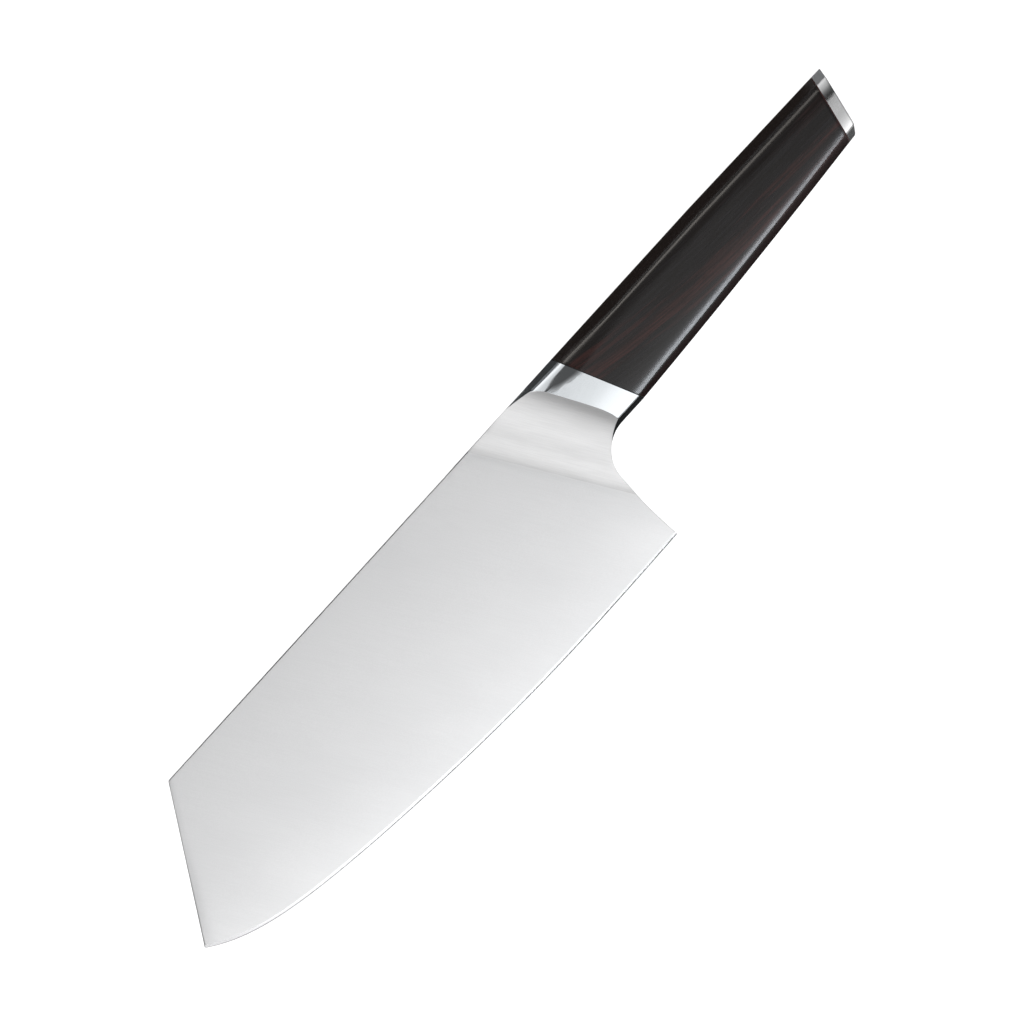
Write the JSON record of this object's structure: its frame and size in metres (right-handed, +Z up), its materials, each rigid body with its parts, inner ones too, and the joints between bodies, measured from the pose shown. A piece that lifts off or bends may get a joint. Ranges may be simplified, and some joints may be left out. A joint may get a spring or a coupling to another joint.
{
  "type": "nakiri knife",
  "caption": "Kitchen knife: tall thin blade with slanted front and curved belly, hollow-ground ramp on a slotted steel bolster, tapering octagonal wooden handle, steel end cap.",
  "frame": {"origin": "middle of the knife's outline on the surface it lies on, with the knife flat on its side", "axes": "+X along the knife towards the butt, +Y from the cutting edge towards the spine, +Z up, through the blade's thickness"},
  "size_m": [0.3072, 0.0612, 0.018],
  "materials": {
    "satin_blade_steel": "fine satin grind across the blade, bright bevel at the edge",
    "polished_bolster_steel": "mirror-polished sides, satin-ground ramp",
    "oiled_ebony": "oiled and polished near-black hardwood with dark red streaks",
    "polished_cap_steel": "mirror-polished",
    "plain_hardware_steel": "plain turned steel"
  },
  "bodies": {
    "root": {"blade": "satin_blade_steel", "bolster": "polished_bolster_steel", "handle_block": "oiled_ebony", "end_cap": "polished_cap_steel", "tang_stud": "plain_hardware_steel", "clamp_washer": "plain_hardware_steel", "clamp_nut": "plain_hardware_steel", "cap_pin_upper": "plain_hardware_steel", "cap_pin_lower": "plain_hardware_steel"}
  },
  "joints": []
}
